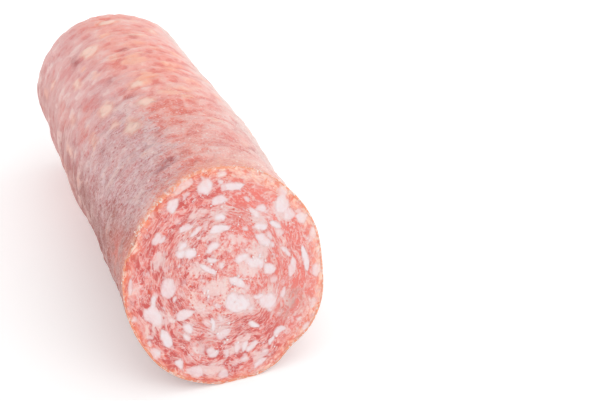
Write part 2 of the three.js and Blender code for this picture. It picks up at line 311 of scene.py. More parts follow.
# Cut face
faceLook = {
    "seed": 11,
    "finestSpacing": 0.27,
    "corePoints": 10,  # round the middle, and twice as many at each doubling on the way out
    "doublings": 6,
    "underLip": 0.15,
    "plugSides": [(0.4, 0.6), (2.0, 1.1), (5.8, 2.2)],  # the meat behind the face: depth, narrower by
    "fatHeight": 0.13,
    "leanRoughness": 0.11,
    "pitDepth": 0.07,
    # Fat that shows plainly: right of the middle, above it, length, width, tilt in degrees
    "grains": [
        (-9.3, 26.9, 6.0, 2.6, 25), (-3.1, 25.6, 4.6, 4.0, 60), (5.2, 24.2, 6.0, 2.2, -2),
        (-13.1, 22.2, 4.8, 2.8, 50), (0.3, 21.3, 5.0, 2.4, 0), (19.5, 20.5, 3.4, 2.4, -40),
        (18.8, 17.0, 5.4, 4.4, 70), (20.6, 13.7, 4.0, 3.4, 0), (24.3, 12.0, 3.4, 2.8, 0),
        (27.5, 7.2, 3.2, 2.2, 90), (27.4, -3.4, 3.6, 2.6, 90), (22.4, -18.9, 2.8, 2.0, 30),
        (10.5, 16.0, 4.4, 1.6, -55), (0.2, 16.8, 2.8, 2.2, 0), (-0.5, 13.6, 5.4, 2.6, 0),
        (11.8, 12.0, 4.6, 2.0, -15), (12.0, 8.2, 5.8, 2.6, -45), (16.2, 11.6, 4.0, 1.6, -40),
        (-10.2, 15.5, 4.6, 1.8, 15), (-7.5, 14.0, 4.0, 1.4, 30), (-18.7, 14.2, 3.8, 2.4, 60),
        (-17.2, 13.6, 2.8, 1.2, 45), (-9.8, 8.5, 3.6, 2.8, 0), (-12.5, 8.8, 3.0, 2.6, 0),
        (-11.7, 10.9, 3.0, 1.6, 30), (-3.2, 9.0, 4.8, 2.0, 25), (-3.8, 5.5, 3.2, 1.6, -25),
        (-5.2, 3.2, 5.2, 1.7, -40), (-1.3, 3.4, 1.8, 1.6, 0), (5.0, 4.3, 4.0, 2.6, 10),
        (8.5, 2.5, 4.6, 3.2, 0), (10.5, 1.8, 3.0, 2.2, 90), (13.0, -0.3, 3.6, 3.0, 0),
        (20.0, -1.2, 5.6, 2.2, 70), (18.7, 3.5, 4.6, 1.4, -50), (24.2, 0.5, 7.5, 1.8, 95),
        (-17.2, 0.3, 5.6, 4.6, 60), (-22.5, -6.2, 5.8, 4.8, -50), (-22.0, -2.6, 4.0, 1.8, 75),
        (-27.8, -6.0, 2.0, 1.8, 0), (-27.7, 3.0, 4.4, 1.4, 75), (-19.7, -13.2, 6.0, 2.4, -70),
        (-23.3, -16.5, 3.6, 2.8, -50), (3.0, -2.0, 5.4, 2.4, -40), (2.0, -7.8, 7.2, 5.4, -30),
        (11.5, -9.2, 5.2, 4.4, 0), (16.3, -8.0, 3.0, 1.4, 80), (-13.1, -11.8, 3.6, 2.0, -45),
        (-13.7, -14.0, 2.6, 1.4, -45), (-13.7, -7.8, 5.5, 2.6, 10), (-5.7, -12.3, 4.0, 1.4, 85),
        (-3.0, -15.5, 5.0, 2.4, 10), (6.5, -14.8, 3.2, 1.6, -30), (13.8, -18.4, 4.2, 1.9, 25),
        (2.8, -20.2, 3.4, 2.0, 70), (0.5, -20.2, 3.0, 1.5, 80), (5.2, -20.8, 4.0, 1.8, 35),
        (11.2, -20.5, 3.0, 1.2, 45), (-6.8, -20.0, 3.6, 2.8, -30), (-2.8, -21.0, 2.2, 1.8, 90),
        (-12.5, -24.2, 4.8, 3.2, -15), (-4.5, -26.8, 3.4, 2.2, 0), (7.0, -26.0, 4.6, 1.8, 25),
        (-16.7, -21.0, 3.2, 2.2, -60), (2.0, 28.0, 3.0, 1.4, 0),
    ],
    # Fat smeared by the grinder, with no clear edge
    "smears": [
        (-9.0, -7.0, 5.0, 3.5, 0), (-11.0, -18.0, 4.5, 3.0, 0), (17.0, -10.5, 3.6, 2.2, 0),
        (6.5, 0.8, 9.0, 5.0, -20), (-4.0, -2.5, 9.0, 5.0, 10), (-8.0, 4.0, 6.0, 4.0, 0),
        (4.0, 9.5, 7.0, 3.0, -20), (-18.5, 8.5, 5.0, 3.0, 40), (-6.0, 18.5, 6.0, 2.0, 20),
        (3.0, -8.0, 10.0, 7.0, -20), (11.5, -8.5, 7.5, 6.0, 0), (-4.0, -13.5, 6.5, 4.5, 30),
        (1.5, -19.5, 8.0, 4.0, 20), (-21.5, -7.0, 7.5, 5.5, -50), (9.5, 4.5, 8.0, 6.0, 20),
        (-13.0, -11.5, 5.0, 3.5, -40), (0.0, 17.5, 7.0, 3.0, 5), (-3.0, 12.0, 7.0, 3.0, 5),
        (-11.0, 10.0, 6.0, 5.0, 0), (-7.5, -24.5, 7.0, 4.0, -10), (7.0, -24.5, 6.0, 3.0, 20),
        (18.0, 15.0, 5.5, 7.0, 20), (11.5, 14.0, 5.0, 5.0, 0),
    ],
    "plainStrength": (0.75, 0.98),
    "faintStrength": (0.2, 0.9),
    "grainWarp": 0.36,
    "smearWarp": 1.5,
    "swirlFrom": (7, 20),  # from the middle, where the lean begins to run round it, and does so fully
    "swirlStretch": 2.1,
    "smallGrains": 900,
    "smallLength": (0.5, 3.0),
    "smallReach": 28.3,  # from the middle
    "grainGirth": 0.42,  # of its length and width, what a grain keeps others out of
    "grainSquareness": 2.2,
    # Darker and paler lean: right, above, size, tone
    "leanZones": [
        (-8.0, 22.0, 4.5, -0.5), (-17.5, 21.0, 4.0, -0.9), (-22.3, 15.5, 3.6, -1.0),
        (6.5, 21.8, 3.6, -0.5), (-2.5, 19.0, 3.0, -0.5), (21.0, 7.0, 5.0, -0.4),
        (22.0, -6.5, 3.6, -0.6), (-2.0, -24.3, 4.5, -1.0), (12.0, -17.5, 6.0, -1.3),
        (20.5, -11.5, 4.0, -0.6), (-16.0, -5.0, 2.8, -0.8), (-23.0, 0.0, 3.0, -0.7),
        (-16.5, -17.0, 4.0, -0.5), (3.0, -17.0, 4.0, -0.5), (-8.5, -22.5, 3.0, -0.7),
        (5.0, 12.0, 4.0, -0.4), (0.0, 0.0, 9.0, 0.7), (8.0, 4.0, 6.0, 0.6), (-12.0, -3.0, 5.0, 0.5),
        (-24.5, -10.0, 3.0, 0.5),
    ],
    "pits": [
        (8.0, 4.2), (-5.0, 0.3), (-22.7, 0.5), (-15.2, -21.5), (14.2, 3.0), (3.8, -23.2), (-9.2, -10.4),
    ],
    "pitRadius": 0.5,
    "greyZones": [
        (19.5, -10.0, 4.2, 0.8), (15.5, -14.0, 3.0, 0.5), (-15.0, -13.0, 2.5, 0.4),
        (-8.0, -17.5, 3.0, 0.4),
    ],
    # Where the knife tore the fat into crumbs: right, above, size
    "tornFat": [
        (0.3, 21.3, 2.0), (-6.0, -2.6, 1.2), (-10.5, 1.4, 1.2), (-11.8, -15.0, 1.5),
        (3.0, -2.0, 2.2), (2.5, -7.5, 2.6), (-3.0, -15.5, 2.2), (-4.5, -19.5, 2.0),
        (5.0, 13.0, 1.6), (9.0, 3.0, 3.0), (-4.0, 4.0, 2.2), (0.5, -20.5, 1.8), (-9.8, 8.5, 1.6),
        (12.5, -20.0, 1.6),
    ],
    # How far the oily orange rim reaches in, at this many even steps round from the top
    "rimReach": (2.6, 3.5, 3.0, 2.6, 2.8, 1.9, 1.6, 1.5, 1.5, 1.7, 2.0, 2.2),
}


def polarNoise(direction, phase):  # an uneven outline for a grain of fat
    return (0.07 * np.sin(2 * direction + phase) + 0.07 * np.sin(3 * direction + 2.1 * phase)
            + 0.03 * np.sin(5 * direction + 3.7 * phase))


def blobDepth(x, z, blob, phase):  # how far inside the blob's outline a point is
    bx, bz, length, width, tilt = blob
    turn = math.radians(tilt)
    dx, dz = x - bx, z - bz
    along = (dx * math.cos(turn) + dz * math.sin(turn)) / (length / 2)
    across = (dz * math.cos(turn) - dx * math.sin(turn)) / (width / 2)
    power = faceLook["grainSquareness"]
    reach = (np.abs(along) ** power + np.abs(across) ** power) ** (1 / power) + 1e-3
    edge = 1 + polarNoise(np.arctan2(across, along), phase)
    return np.hypot(dx, dz) * (edge / reach - 1)


def unionOfBlobs(x, z, blobs, phases):  # depth inside the union, and which blob is the deepest
    depth, owner = np.full(len(x), -3.0), np.zeros(len(x), int)  # well outside them all
    for i, (blob, phase) in enumerate(zip(blobs, phases)):
        near = np.flatnonzero(np.hypot(x - blob[0], z - blob[1]) < blob[2] * 0.75 + 1.5)
        here = blobDepth(x[near], z[near], blob, phase)
        deeper = here > depth[near]
        depth[near[deeper]] = here[deeper]
        owner[near[deeper]] = i
    return depth, owner


def scatterSmallGrains(look, random):
    girth = look["grainGirth"]
    taken = [(g[0], g[1], girth * (g[2] + g[3]) / 2 + 0.3) for g in look["grains"]]
    small = []
    while len(small) < look["smallGrains"]:
        turn, reach = random.uniform(0, 2 * math.pi), look["smallReach"] * math.sqrt(random.uniform())
        x, z = reach * math.sin(turn), reach * math.cos(turn)
        low, high = look["smallLength"]
        length = low + (high - low) * random.uniform() ** 1.8
        width = length * random.uniform(0.42, 0.85)
        own = girth * (length + width) / 2
        if all(math.hypot(x - a, z - b) > r * 0.75 + 0.8 * own for a, b, r in taken):
            small.append((x, z, length, width, math.degrees(-turn) + random.normal(0, 35)))
            taken.append((x, z, own))
        elif random.uniform() < 0.0008:  # the face is nearly full
            break
    return small


def faceRings(look, inset):  # from the middle out to the rim, and each ring's share of the way
    ringCount = round(logShape["radius"] / look["finestSpacing"])
    rings, shares = [], []
    for k in range(ringCount + 1):
        share = k / ringCount
        doubled = math.ceil(math.log2(2 ** look["doublings"] * share) - 1e-9) if k else 0
        angles = evenAngles(look["corePoints"] * 2 ** max(0, doubled) if k else 1)
        edge = rimPoint(angles, inset, 0)
        x, rise = edge[:, 0] * share, (edge[:, 2] - centreHeight(0)) * share
        rings.append(np.stack([x, cutDepth(x, rise), rise + centreHeight(0)], axis=-1))
        shares.append(np.full(len(x), share))
    return rings, shares, angles


def makeCutMeat():
    look = faceLook
    random = np.random.default_rng(look["seed"])
    inset = casingLook["underSolid"] + look["underLip"]
    rings, shares, angles = faceRings(look, inset)
    faceCount = sum(map(len, rings))
    for depth, narrower in look["plugSides"]:
        rings.append(rimPoint(angles, inset + narrower, -depth))
    rings.append(rings[-1].mean(axis=0, keepdims=True))
    piece = ringMesh("cutMeat", rings)
    points = np.concatenate(rings)
    x, z = points[:, 0], points[:, 2] - centreHeight(0)
    flat = np.stack([x, 0 * x, z], axis=-1)
    warpX, warpZ = crumple(flat, 2.6, 3, 5), crumple(flat, 2.6, 3, 6)
    grains = look["grains"] + scatterSmallGrains(look, random)
    phases = random.uniform(0, 6.3, len(grains))
    tones = random.uniform(0, 1, len(grains))
    tones[:len(look["grains"])] *= 0.75
    tones[0] = 1
    plain = random.uniform(*look["plainStrength"], len(grains))
    faint = random.uniform(*look["faintStrength"], len(grains))
    strengths = np.where(np.arange(len(grains)) < len(look["grains"]), plain, faint)
    bend = look["grainWarp"]
    fatDepth, owner = unionOfBlobs(x + bend * warpX, z + bend * warpZ, grains, phases)
    bend = look["smearWarp"]
    smearDepth, _ = unionOfBlobs(x + bend * warpX, z + bend * warpZ, look["smears"], phases)
    reach = np.hypot(x + 1, z - 1)
    swirl = reach + 1.8 * crumple(flat, 6.5, 2, 7)
    mixIn = smoothStep(reach, *look["swirlFrom"])[:, None]
    stretch = look["swirlStretch"]
    flow = (1 - mixIn) * flat + mixIn * np.stack([x / stretch, swirl, z / stretch], axis=-1)
    zones = {}
    for name in ("leanZones", "greyZones"):
        zones[name] = sum(tone * np.exp(-(((x - a) / size) ** 2 + ((z - b) / size) ** 2) * 1.6)
                          for a, b, size, tone in look[name])
    pit = sum(np.exp(-((x - a) ** 2 + (z - b) ** 2) / look["pitRadius"] ** 2) for a, b in look["pits"])
    angle = np.mod(np.arctan2(x, z), 2 * np.pi)
    reachIn = np.interp(angle, evenAngles(len(look["rimReach"])), look["rimReach"], period=2 * np.pi)
    toRim = skinRadius(angle, 0 * angle) - inset - np.hypot(x, z)
    rimGlow = np.exp(-(np.maximum(toRim, 0) / reachIn) ** 2)
    rimPale = smoothStep(np.sin(angle + 0.35), 0.0, 0.8)
    torn = sum(np.exp(-((x - a) ** 2 + (z - b) ** 2) / size ** 2) for a, b, size in look["tornFat"])
    torn = torn * smoothStep(crumple(flat, 1.4, 2, 10), 0.0, 0.35)
    fibres = crumple(flow, 0.9, 3, 8)
    rough = crumple(flat, 0.8, 4, 9)
    inFat = smoothStep(fatDepth, -0.2, 0.4) * strengths[owner]
    lift = look["fatHeight"] * inFat + (1 - inFat) * look["leanRoughness"] * (0.6 * rough + 0.6 * fibres)
    lift = lift + 0.03 * rough * inFat - look["pitDepth"] * pit
    share = np.concatenate(shares + [np.full(len(x) - faceCount, 1.0)])
    lift = lift * (1 - smoothStep(share, 0.975, 1))
    lift[faceCount:] = 0
    placePoints(piece, points + np.stack([0 * lift, -lift, 0 * lift], axis=-1))
    torn[faceCount:] = 0
    giveLayers(piece, {
        "fatDepth": fatDepth,
        "fatTone": tones[owner],
        "fatStrength": strengths[owner],
        "smearDepth": smearDepth,
        "leanTone": zones["leanZones"],
        "greyTone": np.clip(zones["greyZones"], 0, 1),
        "pit": np.clip(pit, 0, 1),
        "rimGlow": rimGlow,
        "rimPale": rimPale,
        "torn": np.clip(torn, 0, 1),
        "meatFlow": flow * mm,
        "hoopAlong": roundTheLog(angle),
    })
    return piece


# What the materials and the scattered bits build their nodes with
def srgb(r, g, b):
    linear = [c / 255 / 12.92 if c <= 10 else ((c / 255 + 0.055) / 1.055) ** 2.4 for c in (r, g, b)]
    return (*linear, 1.0)


class NodeTree:
    def add(self, kind, inputs, **settings):
        node = self.tree.nodes.new(kind)
        for key, value in settings.items():
            setattr(node, key, value)
        for key, value in inputs.items():
            self.feed(node.inputs[key], value)
        return node

    def feed(self, socket, value):
        if isinstance(value, bpy.types.NodeSocket):
            self.tree.links.new(value, socket)
        else:
            socket.default_value = value

    def math(self, operation, a, b=0.0):
        return self.add("ShaderNodeMath", {0: a, 1: b}, operation=operation).outputs["Value"]

    def times(self, a, b):
        return self.math("MULTIPLY", a, b)

    def plus(self, a, b):
        return self.math("ADD", a, b)

    def minus(self, a, b):
        return self.math("SUBTRACT", a, b)

    def vectorMath(self, operation, inputs):
        return self.add("ShaderNodeVectorMath", inputs, operation=operation).outputs["Vector"]

    def push(self, inputs):  # soft noise in each direction, of about -0.5 to 0.5
        cloud = self.add("ShaderNodeTexNoise", inputs).outputs["Color"]
        return self.vectorMath("SUBTRACT", {0: cloud, 1: (0.5, 0.5, 0.5)})


class Shading(NodeTree):
    def __init__(self, name):
        self.material = bpy.data.materials.new(name)
        self.material.use_nodes = True
        self.tree = self.material.node_tree
        self.shader = self.tree.nodes["Principled BSDF"]

    def layer(self, name, output="Fac"):
        return self.add("ShaderNodeAttribute", {}, attribute_name=name).outputs[output]

    def place(self):
        return self.add("ShaderNodeTexCoord", {}).outputs["Object"]

    def stretch(self, vector, scale):
        return self.add("ShaderNodeMapping", {"Vector": vector, "Scale": scale}).outputs["Vector"]

    def noise(self, vector, size, detail=3.0, roughness=0.55, distortion=0.0):
        inputs = {"Vector": vector, "Scale": 1 / (size * mm), "Detail": detail,
                  "Roughness": roughness, "Distortion": distortion}
        return self.add("ShaderNodeTexNoise", inputs).outputs["Fac"]

    def warp(self, vector, size, amount):  # the place, pushed about by soft noise
        push = self.push({"Vector": vector, "Scale": 1 / (size * mm), "Detail": 2.0})
        return self.vectorMath("MULTIPLY_ADD", {0: push, 1: (amount * mm,) * 3, 2: vector})

    def calm(self, value, share, middle=0.5):  # the value brought nearer to its middle
        return self.plus(self.times(self.minus(value, middle), share), middle)

    def mosaic(self, vector, size, soft):  # each cell has its own value
        inputs = {"Vector": vector, "Scale": 1 / (size * mm), "Smoothness": soft}
        cell = self.add("ShaderNodeTexVoronoi", inputs, feature="SMOOTH_F1").outputs["Color"]
        return self.add("ShaderNodeSeparateColor", {"Color": cell}).outputs["Red"]

    def veins(self, vector, size, width):  # thin wandering lines where soft noise crosses its middle
        off = self.math("ABSOLUTE", self.minus(self.noise(vector, size, 3.0, 0.6), 0.5))
        return self.ramp(off, width, 0.0)

    def seams(self, vector, size):  # distance from the nearest line between two cells
        inputs = {"Vector": vector, "Scale": 1 / (size * mm)}
        return self.add("ShaderNodeTexVoronoi", inputs, feature="DISTANCE_TO_EDGE").outputs["Distance"]

    def cells(self, vector, size):  # distance from the nearest of many scattered points
        inputs = {"Vector": vector, "Scale": 1 / (size * mm)}
        return self.add("ShaderNodeTexVoronoi", inputs).outputs["Distance"]

    def ramp(self, value, low, high, to=(0.0, 1.0)):
        inputs = {"Value": value, 1: low, 2: high, 3: to[0], 4: to[1]}
        return self.add("ShaderNodeMapRange", inputs, interpolation_type="SMOOTHSTEP").outputs["Result"]

    def sum(self, *pairs):  # of values, each with its weight
        total = 0.0
        for value, weight in pairs:
            inputs = {0: value, 1: weight, 2: total}
            total = self.add("ShaderNodeMath", inputs, operation="MULTIPLY_ADD").outputs["Value"]
        return total

    def blend(self, share, a, b, kind="MIX"):
        node = self.add("ShaderNodeMix", {0: share, 6: a, 7: b}, data_type="RGBA", blend_type=kind)
        return node.outputs[2]

    def bump(self, height, distance, below=None):
        inputs = {"Height": height, "Distance": distance * mm, "Strength": 1.0}
        if below is not None:
            inputs["Normal"] = below
        return self.add("ShaderNodeBump", inputs).outputs["Normal"]

    def finish(self, **sockets):
        for name, value in sockets.items():
            self.feed(self.shader.inputs[name.replace("_", " ")], value)
        return self.material


# Cut meat: ground lean that swirls round the middle, fat in it, an oily orange rim
meatColours = {
    "darkLean": srgb(203, 87, 83),
    "warmLean": srgb(232, 122, 112),
    "lean": srgb(225, 126, 119),
    "pinkLean": srgb(230, 158, 151),
    "peach": srgb(237, 198, 190),
    "smear": srgb(235, 208, 205),
    "fat": srgb(232, 221, 224),
    "fatEdge": srgb(230, 203, 203),
    "creamFat": srgb(236, 220, 218),
    "orangeRim": srgb(244, 138, 96),
    "yellowRim": srgb(254, 212, 190),
    "redRim": srgb(224, 92, 66),
    "grey": srgb(196, 150, 142),
    "hole": srgb(214, 84, 56),
}


def cutMeatMaterial():
    s, tone = Shading("cutMeat"), meatColours
    place, flow = s.place(), s.layer("meatFlow", "Vector")
    loose = s.warp(flow, 2.2, 1.6)
    broad = s.noise(flow, 4.0, 3, 0.6, 0.25)
    pieces = s.mosaic(loose, 2.5, 0.12)
    bits = s.mosaic(loose, 1.1, 0.2)
    between = s.ramp(s.seams(loose, 2.5), 0.0, 0.14, (1.0, 0.0))
    fine = s.noise(loose, 1.0, 2, 0.55, 0.1)
    wisps = s.veins(loose, 2.0, 0.04)
    speck = s.noise(s.warp(flow, 1.0, 0.5), 0.6, 3, 0.6)
    toneHere = s.sum((broad, 0.46), (pieces, 0.2), (bits, 0.16), (fine, 0.42), (s.layer("leanTone"), 0.11),
                     (between, 0.1))
    dark = s.blend(s.layer("rimPale"), tone["darkLean"], tone["warmLean"])
    lean = s.blend(s.ramp(toneHere, 0.54, 0.65), dark, tone["lean"])
    lean = s.blend(s.ramp(toneHere, 0.65, 0.75), lean, tone["pinkLean"])
    lean = s.blend(s.ramp(toneHere, 0.75, 0.9), lean, tone["peach"])
    lean = s.blend(s.ramp(speck, 0.3, 0.48, (0.45, 0.0)), lean, dark)
    lean = s.blend(s.ramp(speck, 0.52, 0.72, (0.0, 0.75)), lean, tone["peach"])
    smear = s.sum((s.layer("smearDepth"), 1.0), (s.minus(fine, 0.5), 6.0))
    lean = s.blend(s.ramp(smear, -1.2, 1.6, (0.0, 0.8)), lean, tone["smear"])
    lean = s.blend(s.times(wisps, s.ramp(broad, 0.4, 0.6, (0.35, 0.6))), lean, tone["smear"])
    greyHere = s.times(s.layer("greyTone"), s.ramp(fine, 0.35, 0.65, (0.2, 1.0)))
    lean = s.blend(greyHere, lean, tone["grey"])
    hotSpots = s.times(s.ramp(s.cells(place, 1.6), 0.1, 0.28, (0.8, 0.0)), s.ramp(broad, 0.48, 0.6))
    lean = s.blend(hotSpots, lean, tone["hole"])
    ragged = s.times(s.minus(s.noise(place, 0.9, 3, 0.6), 0.5), 0.8)
    depth = s.plus(s.layer("fatDepth"), ragged)
    fatShare = s.times(s.ramp(depth, -0.35, 0.35), s.layer("fatStrength"))
    fat = s.blend(s.ramp(s.layer("fatTone"), 0.7, 0.95), tone["fat"], tone["creamFat"])
    fat = s.blend(s.ramp(s.noise(place, 1.4, 3), 0.4, 0.75, (0.0, 0.6)), fat, tone["fatEdge"])
    fat = s.blend(s.ramp(depth, 0.1, 0.9, (0.75, 0.0)), fat, tone["fatEdge"])
    colour = s.blend(fatShare, lean, fat)
    rimBits = s.sum((s.mosaic(s.warp(place, 1.5, 1.0), 1.8, 0.3), 1.0), (s.layer("rimPale"), 0.45))
    rim = s.blend(s.ramp(rimBits, 0.4, 0.8), tone["orangeRim"], tone["yellowRim"])
    rim = s.blend(s.ramp(s.noise(place, 2.6, 2), 0.54, 0.66, (0.0, 0.6)), rim, tone["smear"])
    seams = s.ramp(s.seams(s.warp(flow, 1.2, 1.4), 1.6), 0.02, 0.12, (0.75, 0.0))
    seams = s.times(seams, s.ramp(s.layer("rimPale"), 0.0, 1.0, (1.0, 0.35)))
    rim = s.blend(seams, rim, tone["redRim"])
    patchy = s.ramp(s.noise(place, 4.5, 2), 0.36, 0.58, (0.65, 1.0))
    glow = s.times(s.layer("rimGlow"), s.times(s.ramp(fine, 0.36, 0.6, (0.5, 1.0)), patchy))
    glow = s.times(glow, s.minus(0.95, s.times(fatShare, 0.6)))
    colour = s.blend(glow, colour, rim)
    flecks = s.times(s.ramp(s.noise(place, 0.6, 2, 0.5), 0.62, 0.7), s.ramp(broad, 0.42, 0.6))
    colour = s.blend(s.times(flecks, 0.7), colour, tone["fat"])
    colour = s.blend(s.times(s.layer("pit"), 0.9), colour, tone["hole"])
    leanBump = s.times(s.plus(fine, speck), s.minus(1.15, fatShare))
    normal = s.bump(leanBump, 0.22)
    normal = s.bump(s.noise(place, 0.25, 2), 0.05, normal)
    roughness = s.ramp(fine, 0.3, 0.7, (0.32, 0.55))
    return s.finish(Base_Color=colour, Roughness=roughness, Normal=normal, Subsurface_Weight=0.2,
                    Subsurface_Radius=(1.0, 0.4, 0.3), Subsurface_Scale=0.6 * mm, Coat_Weight=0.12,
                    Coat_Roughness=0.25, Specular_IOR_Level=0.35)


# Casing: satin skin with fat showing pale through it, greyish bloom on the left near the cut
casingColours = {
    "mauve": srgb(233, 177, 173),
    "coral": srgb(244, 178, 168),
    # painted highlight: the pale, less red tone of the right side, where the light falls
    "paintedHighlightRight": srgb(232, 207, 200),
    # painted light: a paler tone on the top just behind the cut
    "paintedLightNearTop": srgb(255, 220, 208),
    # painted shade: the darker tone of the lower left flank and the underside, away from the lamps
    "paintedShade": srgb(158, 82, 72),
    "pale": srgb(243, 212, 206),
    "fatUnder": srgb(250, 211, 196),
    "orange": srgb(250, 178, 146),
    "bloom": srgb(206, 149, 153),
    "film": srgb(229, 194, 200),
    "thread": srgb(237, 211, 209),
    "speck": srgb(252, 240, 236),
    "deepRed": srgb(190, 98, 92),
    "red": srgb(239, 136, 117),
    "bruise": srgb(162, 74, 78),
    "lip": srgb(255, 230, 218),
    "lipOrange": srgb(248, 160, 122),
    "darken": (0.91, 0.67, 0.67, 1.0),
    "middle": 0.58,  # of the mottling, which runs from dark to pale
}
# Marks on the casing: along the log, degrees round from the top, length along, width round, strength
casingMarks = {
    "fatPatch": [
        (50, -28, 7, 4.2, 1.0), (61, -13, 5, 4, 0.9), (71, -37, 7, 4.4, 1.0),
        (76, -13, 5, 4.5, 0.8), (105, -45, 7, 3.4, 0.8), (104, -15, 5, 4, 0.6),
        (119, -27, 8, 5, 0.9), (127, -64, 7, 3.5, 0.6), (134, -76, 7, 3.5, 0.6),
        (140, -6, 4, 6, 0.9), (88, -60, 6, 3.4, 0.5), (64, -52, 6, 3.4, 0.5), (122, 8, 4, 6, 0.7),
        (108, 14, 4, 5, 0.5), (92, 20, 4, 6, 0.5), (132, 24, 5, 4, 0.6), (80, -76, 8, 3, 0.5),
    ],
    "orangePatch": [
        (80, -5, 10, 7, 1.1), (98, -5, 9, 10, 0.85), (98, -30, 7, 5, 0.5), (128, -12, 7, 8, 0.7),
        (66, 4, 8, 8, 0.8), (57, -78, 12, 5, 0.7), (88, 14, 10, 6, 0.8), (112, 2, 8, 8, 0.7),
        (60, 12, 9, 6, 0.7), (46, 20, 8, 6, 0.5), (92, -92, 26, 4, 0.4), (62, -95, 20, 4, 0.4),
        (36, -93, 14, 4, 0.3), (122, -95, 18, 4, 0.4), (145, 10, 7, 7, 0.6), (138, -20, 7, 6, 0.5),
        (75, 24, 9, 6, 0.6), (105, 26, 9, 6, 0.6),
    ],
    "redZone": [
        (48, -2, 24, 14, 1.25), (82, 8, 20, 12, 0.9), (113, -15, 16, 9, 0.7),
        (145, -10, 14, 12, 0.8), (98, -16, 8, 6, 0.8), (12, -10, 16, 8, 1.2), (24, -6, 18, 12, 0.8),
        (10, -78, 16, 14, 0.9), (60, 10, 26, 12, 0.8), (100, 12, 24, 9, 0.7), (30, 30, 16, 10, 0.4),
        (126, 4, 14, 10, 0.7), (9, -37, 8, 7, 0.8), (70, -58, 16, 5, 0.5), (100, -66, 16, 5, 0.5),
    ],
    "darkSpot": [
        (121, -39, 9, 2.6, 1.0), (19.5, -24, 1.5, 6, 0.9), (21.6, -17, 1.4, 7, 0.85),
        (38.6, -17.5, 3.4, 1.6, 0.9), (50, -50, 8, 2, 0.6), (88, -24, 4, 3, 0.6),
        (109, -6, 4, 4, 0.6), (70, -22, 4, 3, 0.5), (66, -30, 5, 1.6, 0.6),
    ],
}


# Where each tone of the skin begins and is full, or begins to fade and is gone: degrees round from the
# top, or for a name with Along, millimetres from the cut
casingZones = {
    "seed": 23,
    "drawnMarks": {"fatPatch": 70, "orangePatch": 50, "redZone": 40, "darkSpot": 14},
    "drawnMark": [(4, 168), (-180, 180), (2, 5.5), (2.5, 5), (0.15, 0.65)],  # limits, in a mark's order
    "flankRise": 14,  # near the cut, the tones of the flank lie this many degrees higher
    "flankAlong": (12, 40),
    "bloomFrom": (-86, -58),
    "bloomTo": (-34, -2),
    "bloomAlong": (0, 14),
    "bloomFadesAlong": (35, 110),
    "coralFrom": (-36, -4),
    "rightTo": (115, 170),
    # painted light on the top just behind the cut
    "paintedLightNearTopFrom": (-6, 22),
    "paintedLightNearTopTo": (62, 88),
    "paintedLightNearTopAlong": (8, 26),
    # painted highlight over the right side
    "paintedHighlightRightFrom": (20, 54),
    "paintedHighlightRightAlong": (146, 158),
    # painted shade on the lower left flank and the underside, fading away from the cut
    "paintedShadeTo": (-90, -50),
    "paintedShadeFrom": (100, 150),
    "paintedShadeFadesAlong": (40, 125),
    "glowReach": 2.6,
    "glowWiderFrom": (-50, -20),
    "glowFrom": (-130, -20),
    "glowTo": (60, 95),
    "specksFrom": (-60, -20),
    "specksTo": (80, 120),
    "specksAlong": (45, 90),
    "crispAlong": (20, 95),
    "contrastAlong": (70, 140),
}


def markField(along, around, marks, random, drawn):  # how strong the marks are at each point
    marks = list(marks)
    for _ in range(drawn):  # the rest of the skin gets its own, by a seeded draw
        marks.append(tuple(random.uniform(*limits) for limits in casingZones["drawnMark"]))
    field = np.zeros(len(along))
    radius = logShape["radius"]
    for y, degrees, length, width, strength in marks:
        turn = halfTurn(around - math.radians(degrees))
        off = ((along - y) / (length / 1.5)) ** 2 + (turn * radius / (width / 1.5)) ** 2
        field = np.maximum(field, strength * np.exp(-off))
    return field


